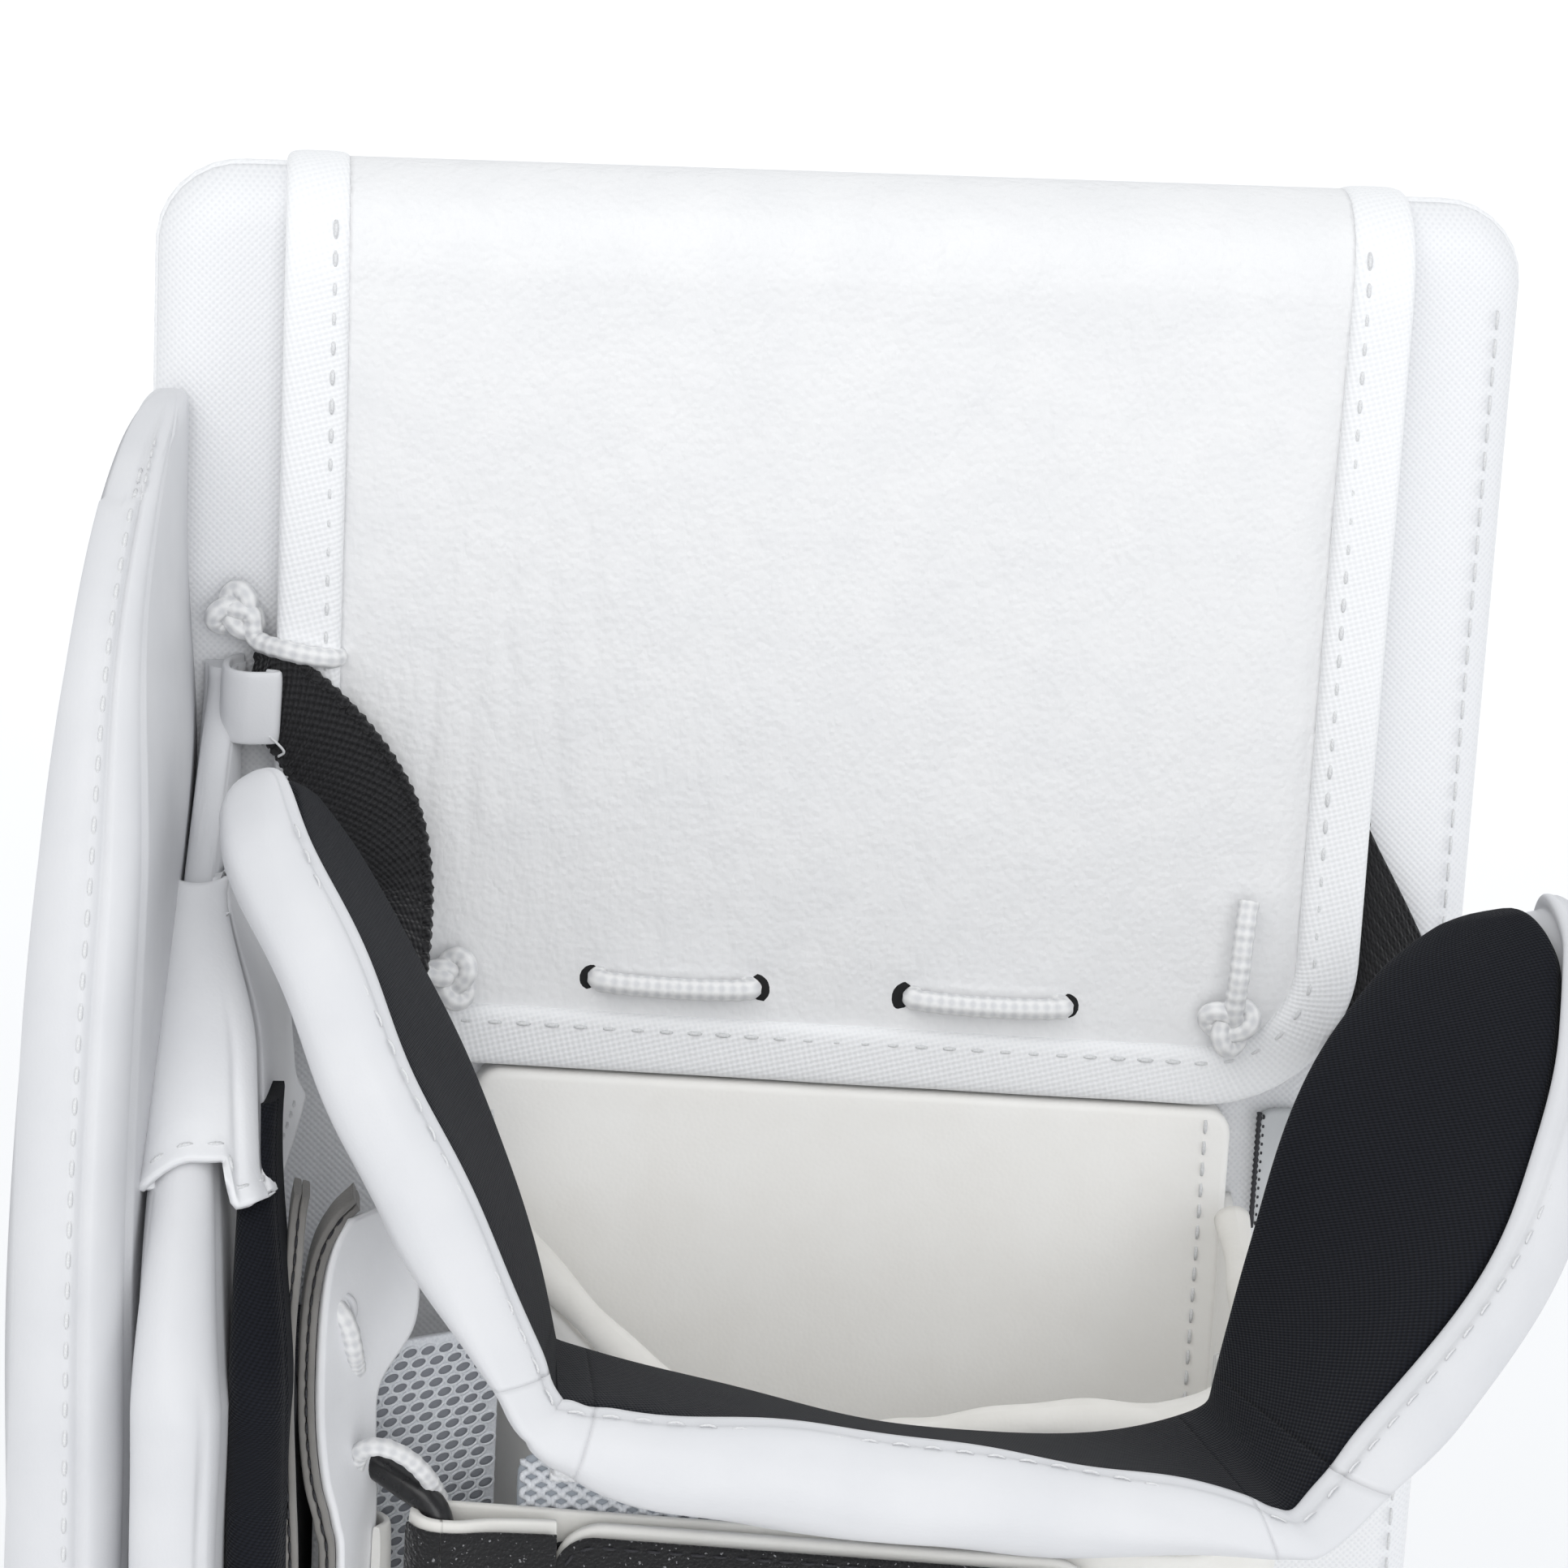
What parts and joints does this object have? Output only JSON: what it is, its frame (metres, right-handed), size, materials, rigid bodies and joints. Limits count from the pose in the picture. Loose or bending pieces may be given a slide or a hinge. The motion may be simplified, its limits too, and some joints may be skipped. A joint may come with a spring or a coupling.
{
  "type": "goalie blocker glove",
  "caption": "Ice hockey goalie blocker glove: flat padded board with sidewall and thumb guard, laced forearm flap, flared hinged cuff, hand pouch, finger stalls and ring wrist strap.",
  "frame": {"origin": "middle of the board's finger end, on its palm face, where the glove stands", "axes": "+X towards the little finger, +Y out of the board's front, +Z along the board towards the forearm"},
  "size_m": [0.2283, 0.1344, 0.3837],
  "materials": {
    "board_leather": "smooth white synthetic leather",
    "woven_nylon": "fine white woven nylon",
    "foam": "closed-cell foam",
    "stiff_sheet": "stiff plastic sheet",
    "pebbled_leather": "white pebble-grain synthetic leather",
    "woven_binding": "white woven binding",
    "braided_cord": "white braided cord",
    "padded_leather": "white synthetic leather over padding",
    "black_knit": "black brushed knit",
    "black_elastic": "black ribbed elastic",
    "white_elastic": "white ribbed elastic",
    "cream_leather": "soft cream leather",
    "grey_leather": "light grey leather",
    "palm_leather": "soft off-white palm leather",
    "air_mesh": "white spacer mesh",
    "dark_leather": "dark grey perforated leather",
    "hook_and_loop": "black hook-and-loop tape",
    "black_plastic": "black moulded plastic"
  },
  "bodies": {
    "board": {"board_front_cover": "board_leather", "board_foam": "foam", "board_stiffener": "stiff_sheet", "board_back_cover": "woven_nylon", "flap_leather": "pebbled_leather", "flap_foam": "foam", "flap_binding": "woven_binding", "flap_lace": "braided_cord", "flap_lace_knots": "braided_cord", "side_lace": "braided_cord", "side_lace_knot": "braided_cord", "sidewall_foam": "foam", "sidewall_cover": "padded_leather", "sidewall_edge_strip": "woven_binding", "thumb_guard_shell": "padded_leather", "thumb_guard_lining": "black_knit", "thumb_guard_strap": "pebbled_leather", "cuff_hinge_tape": "woven_binding", "elastic_left": "black_elastic", "elastic_right": "black_elastic", "elastic_tab": "woven_binding", "backhand_pad": "cream_leather", "hand_pouch": "cream_leather", "pouch_rim": "cream_leather", "pouch_elastic": "white_elastic", "side_tab": "grey_leather", "palm_panel": "palm_leather", "palm_heel_mesh": "air_mesh", "palm_heel_patch": "dark_leather", "thumb_side_panel": "woven_nylon", "thumb_gusset": "air_mesh", "thumb_welts": "grey_leather", "thumb_web": "palm_leather", "palm_lace": "braided_cord", "finger_pad": "cream_leather", "wrist_strap": "cream_leather", "strap_ring": "black_plastic", "ring_tab": "palm_leather"},
    "cuff": {"cuff_base_shell": "padded_leather", "cuff_base_lining": "black_knit"},
    "cuff_left": {"cuff_left_shell": "padded_leather", "cuff_left_lining": "black_knit"},
    "cuff_right": {"cuff_right_shell": "padded_leather", "cuff_right_lining": "black_knit"},
    "index_finger": {"index_stall": "palm_leather"},
    "middle_finger": {"middle_stall": "palm_leather"},
    "ring_finger": {"ring_stall": "palm_leather"},
    "little_finger": {"little_stall": "palm_leather"},
    "thumb": {"thumb_stall": "palm_leather"},
    "strap_tail": {"strap_tail": "cream_leather", "strap_hook_tape": "hook_and_loop", "strap_loop_tape": "hook_and_loop"}
  },
  "joints": [
    {"name": "cuff_swing", "type": "hinge", "parent": "board", "child": "cuff", "pos_m": [0.0055, -0.065, 0.216], "axis": [1, 0, 0], "range_deg": [0, 18], "stiffness_Nm_per_rad": 1, "springref_deg": -9.74, "deforming": ["elastic_left", "elastic_right"]},
    {"name": "left_wing_fold", "type": "hinge", "parent": "cuff", "child": "cuff_left", "pos_m": [-0.0416, -0.06415, 0.22791], "axis": [0.0412, 0.9681, -0.2472], "range_deg": [0, 12], "stiffness_Nm_per_rad": 0.5, "springref_deg": -8.59},
    {"name": "right_wing_fold", "type": "hinge", "parent": "cuff", "child": "cuff_right", "pos_m": [0.05343, -0.06516, 0.228], "axis": [0.0624, -0.9981, 0], "range_deg": [0, 12], "stiffness_Nm_per_rad": 0.5, "springref_deg": -8.59},
    {"name": "index_curl", "type": "hinge", "parent": "board", "child": "index_finger", "pos_m": [0, -0.0396, 0.1115], "axis": [-1, 0, 0], "range_deg": [0, 50], "stiffness_Nm_per_rad": 0.1, "springref_deg": -5.73},
    {"name": "middle_curl", "type": "hinge", "parent": "board", "child": "middle_finger", "pos_m": [0, -0.0396, 0.1115], "axis": [-1, 0, 0], "range_deg": [0, 50], "stiffness_Nm_per_rad": 0.1, "springref_deg": -5.73},
    {"name": "ring_curl", "type": "hinge", "parent": "board", "child": "ring_finger", "pos_m": [0, -0.0396, 0.1115], "axis": [-1, 0, 0], "range_deg": [0, 50], "stiffness_Nm_per_rad": 0.1, "springref_deg": -5.73},
    {"name": "little_curl", "type": "hinge", "parent": "board", "child": "little_finger", "pos_m": [0, -0.0396, 0.1115], "axis": [-1, 0, 0], "range_deg": [0, 50], "stiffness_Nm_per_rad": 0.1, "springref_deg": -5.73},
    {"name": "thumb_curl", "type": "hinge", "parent": "board", "child": "thumb", "pos_m": [0, -0.0595, 0.1475], "axis": [-1, 0, 0], "range_deg": [0, 35], "stiffness_Nm_per_rad": 0.1, "springref_deg": -5.73},
    {"name": "strap_peel", "type": "hinge", "parent": "board", "child": "strap_tail", "pos_m": [-0.05, -0.0587, 0.178], "axis": [0, 0, 1], "range_deg": [-110, 0]}
  ]
}
